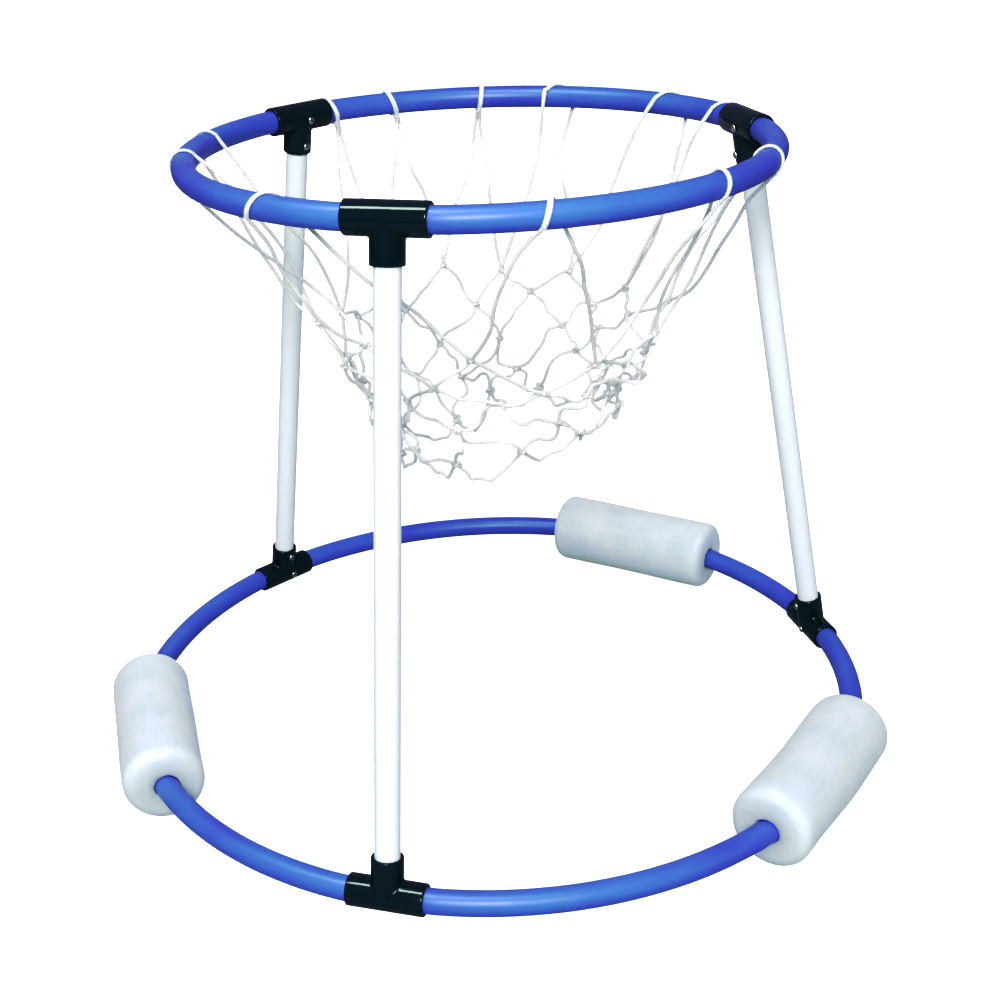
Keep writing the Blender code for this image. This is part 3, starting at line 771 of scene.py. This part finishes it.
def net_mesh(name):
    chance = random.Random(NET_SEED + 4)
    rows = net_knots()
    count = len(LOOP_AZIMUTHS)
    parts = []
    for k, (azimuth, slant, travel) in enumerate(zip(LOOP_AZIMUTHS, LOOP_SLANTS, LOOP_TRAVELS)):
        knots = (rows[0][k - 1], rows[0][k])
        neck, line, press = loop_line(math.radians(azimuth), slant, travel, knots, chance)
        parts.append(loop_part(line, press))
        if neck is not None:
            parts.append(whipping_part(neck, (knots[0] + knots[1]) / 2 - neck))
    for row in range(NET_ROWS - 1):
        back = -1 if row % 2 == 0 else 1
        slack = 0.0030 + 0.0022 * row
        for k in range(count):
            for other in (k, (k + back) % count):
                line = hanging(rows[row][k], rows[row + 1][other], chance, 5, slack, 0.0007 + 0.0006 * row)
                parts.append(cord_part(sampled(line, CORD_STEP), CORD_R))
    for k in range(count):
        start, stop = rows[-1][k], rows[-1][(k + 1) % count]
        inward = Vector((-start.x - stop.x, -start.y - stop.y, 0)).normalized()
        deep, in_reach = NET_HEM_DROP * chance.uniform(0.75, 1.0), NET_HEM_R * chance.uniform(0.2, 1.0)
        points = []
        for step in range(9):
            share = step / 8
            dip = math.sin(math.pi * share) ** 0.8
            stray = Vector([chance.uniform(-1, 1) for _ in range(3)]) * (HEM_STRAY if 0 < step < 8 else 0)
            points.append(start.lerp(stop, share) + dip * (in_reach * inward - Vector((0, 0, deep))) + stray)
        parts.append(cord_part(sampled(points, CORD_STEP), CORD_R))
    for row, knots in enumerate(rows):
        for knot in knots:
            size = (0.0036 if row == NET_ROWS - 1 else 0.0028) * chance.uniform(0.9, 1.15)
            parts.append(knot_part(knot, (knot.x * 0.4, knot.y * 0.4, -0.1), size, chance))
    return mesh_of_parts(name, parts, sharp=80)


# Stage, light and camera

WORLD_STRENGTH = 0.28
WORLD_LOW = (0.85, 0.66, 0.96)
WORLD_HIGH = (0.72, 0.76, 0.97)
FLOOR_BOUNCE = (0.35, 0.39, 0.42)
FLOOR_HALF = 20
FLOOR_Z = -0.0002
MIDDLE = (-0.01, -0.01, 0.28)
LEFT_OF_HOOP = (-0.75, -0.25, 0.3)
CAMERA_SPOT = (0.320256, -1.188114, 0.775428)
CAMERA_TURN = (0.294, 0.429, -0.042)
CAMERA_LENS = 53.774
CAMERA_SHIFT = 0.04

# One curve per colour, from scene light to picture: dark blues turn violet, as in the photograph
RED_CURVE = ((0.030, 0.028), (0.070, 0.059), (0.100, 0.085), (0.125, 0.112), (0.160, 0.158), (0.350, 0.350))
GREEN_CURVE = ((0.032, 0.029), (0.070, 0.050), (0.120, 0.086), (0.140, 0.114), (0.160, 0.154), (0.180, 0.194),
               (0.205, 0.236), (0.270, 0.292), (0.400, 0.400))
BLUE_CURVE = ((0.150, 0.138), (0.250, 0.250), (0.340, 0.354), (0.405, 0.396), (0.515, 0.476), (0.550, 0.520),
              (0.600, 0.605))


def add_floor():
    """A plain pale floor that the camera sees as bright as the background. Other rays see a duller one."""
    made = Finish("floor_pale")
    made.coords = made.add("ShaderNodeTexCoord").outputs["Object"]
    cloud = made.noise(1.2, 3.0)
    made.set(Base_Color=made.mix(made.spread(cloud, 0.3, 0.7), (0.93, 0.93, 0.935), (0.95, 0.95, 0.95)))
    made.shader.inputs["Roughness"].default_value = 0.85
    made.shader.inputs["Specular IOR Level"].default_value = 0.1
    made.shader.inputs["Emission Color"].default_value = (0.93, 0.90, 1.0, 1.0)
    made.shader.inputs["Emission Strength"].default_value = 0.60
    bounce = made.add("ShaderNodeBsdfDiffuse", {"Color": (*FLOOR_BOUNCE, 1.0)})
    path = made.add("ShaderNodeLightPath")
    inputs = {0: path.outputs["Is Camera Ray"], 1: bounce.outputs[0], 2: made.shader.outputs[0]}
    seen = made.add("ShaderNodeMixShader", inputs)
    made.put(made.tree.nodes["Material Output"].inputs["Surface"], seen.outputs[0])
    mesh = bpy.data.meshes.new("floor")
    corners = [(x * FLOOR_HALF, y * FLOOR_HALF, FLOOR_Z) for x, y in ((-1, -1), (1, -1), (1, 1), (-1, 1))]
    mesh.from_pydata(corners, [], [(0, 1, 2, 3)])
    mesh.materials.append(made.material)
    floor = bpy.data.objects.new("floor", mesh)
    bpy.context.scene.collection.objects.link(floor)


def add_softbox(name, size, spot, target, watts, colour, glossy=True, diffuse=True):
    light = bpy.data.lights.new(name, "AREA")
    light.shape = "RECTANGLE"
    light.size, light.size_y = size
    light.energy = watts
    light.color = colour
    placed = bpy.data.objects.new(name, light)
    placed.location = spot
    placed.rotation_euler = (Vector(spot) - Vector(target)).to_track_quat("Z", "Y").to_euler()
    placed.visible_glossy = glossy
    placed.visible_diffuse = diffuse
    bpy.context.scene.collection.objects.link(placed)


def add_world():
    world = bpy.data.worlds.new("studio")
    world.use_nodes = True
    nodes, links = world.node_tree.nodes, world.node_tree.links
    background = nodes["Background"]
    background.inputs["Strength"].default_value = WORLD_STRENGTH
    place = nodes.new("ShaderNodeTexCoord")
    split = nodes.new("ShaderNodeSeparateXYZ")
    height = nodes.new("ShaderNodeMapRange")
    height.inputs["From Min"].default_value = -0.4
    height.inputs["From Max"].default_value = 0.7
    tint = nodes.new("ShaderNodeMix")
    tint.data_type = "RGBA"
    tint.inputs[6].default_value = (*WORLD_LOW, 1.0)
    tint.inputs[7].default_value = (*WORLD_HIGH, 1.0)
    links.new(place.outputs["Generated"], split.inputs[0])
    links.new(split.outputs[2], height.inputs["Value"])
    links.new(height.outputs[0], tint.inputs[0])
    links.new(tint.outputs[2], background.inputs["Color"])
    seen = nodes.new("ShaderNodeBackground")
    seen.inputs["Color"].default_value = (1.0, 1.0, 1.0, 1.0)
    seen.inputs["Strength"].default_value = 1.0
    mix, path = nodes.new("ShaderNodeMixShader"), nodes.new("ShaderNodeLightPath")
    links.new(path.outputs["Is Camera Ray"], mix.inputs[0])
    links.new(background.outputs[0], mix.inputs[1])
    links.new(seen.outputs[0], mix.inputs[2])
    links.new(mix.outputs[0], nodes["World Output"].inputs["Surface"])
    bpy.context.scene.world = world


def set_view():
    view = bpy.context.scene.view_settings
    view.view_transform = "Standard"
    view.look = "Very High Contrast"
    view.use_curve_mapping = True
    for channel, points in zip(view.curve_mapping.curves, (RED_CURVE, GREEN_CURVE, BLUE_CURVE)):
        for light, printed in points:
            channel.points.new(light, printed).handle_type = "AUTO_CLAMPED"
    view.curve_mapping.update()


def add_camera():
    """The camera, fitted to the photograph's view."""
    yaw, pitch, roll = CAMERA_TURN
    forward = Vector((-math.sin(yaw) * math.cos(pitch), math.cos(yaw) * math.cos(pitch), -math.sin(pitch)))
    right = Vector((math.cos(yaw), math.sin(yaw), 0))
    up = right.cross(forward)
    tilted_right = math.cos(roll) * right + math.sin(roll) * up
    tilted_up = math.cos(roll) * up - math.sin(roll) * right
    turn = Matrix((tilted_right, tilted_up, -forward)).transposed()
    camera = bpy.data.cameras.new("camera")
    camera.sensor_width = 36.0
    camera.lens = CAMERA_LENS
    camera.shift_x = CAMERA_SHIFT
    placed = bpy.data.objects.new("camera", camera)
    placed.matrix_world = Matrix.Translation(CAMERA_SPOT) @ turn.to_4x4()
    bpy.context.scene.collection.objects.link(placed)
    bpy.context.scene.camera = placed


def build():
    blue = tube_finish("blue_tube_extruded", (0.122, 0.250, 0.575), (0.112, 0.148, 0.53), 0.38, 0.00004)
    white = tube_finish("white_tube_extruded", (0.90, 0.895, 0.93), (0.86, 0.865, 0.91), 0.32, 0.00003)
    black, foam, cord, steel = tee_finish(), foam_finish(), cord_finish(), steel_finish()

    radii = {"hoop": (HOOP_RADIUS, HOOP_Z), "base": (BASE_RADIUS, BASE_Z)}
    chance = random.Random(5)
    screw = screw_mesh("screw")
    for ring, (radius, height) in radii.items():
        for place, azimuth in TEE_AZIMUTHS.items():
            turn = math.radians(azimuth)
            node = f"{ring}_tube_{NEXT_TUBE[place]}"
            mesh = ring_tube_mesh(node, radius)
            add_piece(f"fine_{node}", mesh, blue, "frame", [node], ring_place(turn, height))
            node = f"{ring}_tee_{place}"
            tee_frame = tee_place(turn, height, radius)
            flip = Matrix.Rotation(math.pi if ring == "base" else 0, 4, "X")
            add_piece(f"fine_{node}", tee_mesh(node), black, "frame", [node], tee_frame @ flip)
            if ring == "hoop":
                node = f"leg_{place}"
                add_piece(f"fine_{node}", leg_mesh(node), white, "frame", [node], tee_frame)
            stem = -STEM_SCREW_DROP if ring == "hoop" else STEM_SCREW_DROP
            for part, along_run, along_leg in (("run", -RUN_SCREW_OFFSET, 0), ("stem", 0, stem)):
                node = f"{ring}_tee_{place}_{part}_screw"
                spot = Matrix.Translation((-TEE_R - SEAT_GAP, along_run, along_leg))
                inward = Matrix.Rotation(-math.pi / 2, 4, "Y") @ Matrix.Rotation(chance.uniform(0, 3), 4, "Z")
                matrix = tee_frame @ spot @ inward
                add_piece(f"fine_{node}", screw.copy(), steel, "frame", [node], matrix)
    for seed, (place, azimuth) in enumerate(FLOAT_AZIMUTHS.items()):
        node = f"float_{place}"
        matrix = ring_place(math.radians(azimuth), 0)
        piece = add_piece(f"fine_{node}", float_mesh(node, seed), foam, node, [node], matrix)
    add_piece("fine_net", net_mesh("net"), cord, "frame", ["net"], ring_place(0, HOOP_Z))


add_camera()
build()
add_floor()
add_world()
add_softbox("overhead", (1.8, 0.28), (-0.75, -0.62, 3.0), LEFT_OF_HOOP, 12, (0.90, 1.0, 0.96), glossy=False)
add_softbox("strip", (1.8, 0.62), (-0.75, -0.80, 3.0), LEFT_OF_HOOP, 36, (0.86, 1.0, 0.94), diffuse=False)
add_softbox("front", (0.9, 0.8), (0.47, -2.45, 1.80), MIDDLE, 46, (0.92, 1.0, 0.91))
add_softbox("left_fill", (1.6, 1.6), (-2.6, -0.6, 1.4), MIDDLE, 2, (0.84, 0.90, 1.0), glossy=False)
add_softbox("back", (2.4, 1.2), (-0.9, 3.0, 1.3), MIDDLE, 24, (0.97, 1.0, 0.94), glossy=False)
add_softbox("right_fill", (1.6, 1.2), (2.5, -0.5, 0.9), MIDDLE, 5, (0.92, 1.0, 0.98), glossy=False)
set_view()
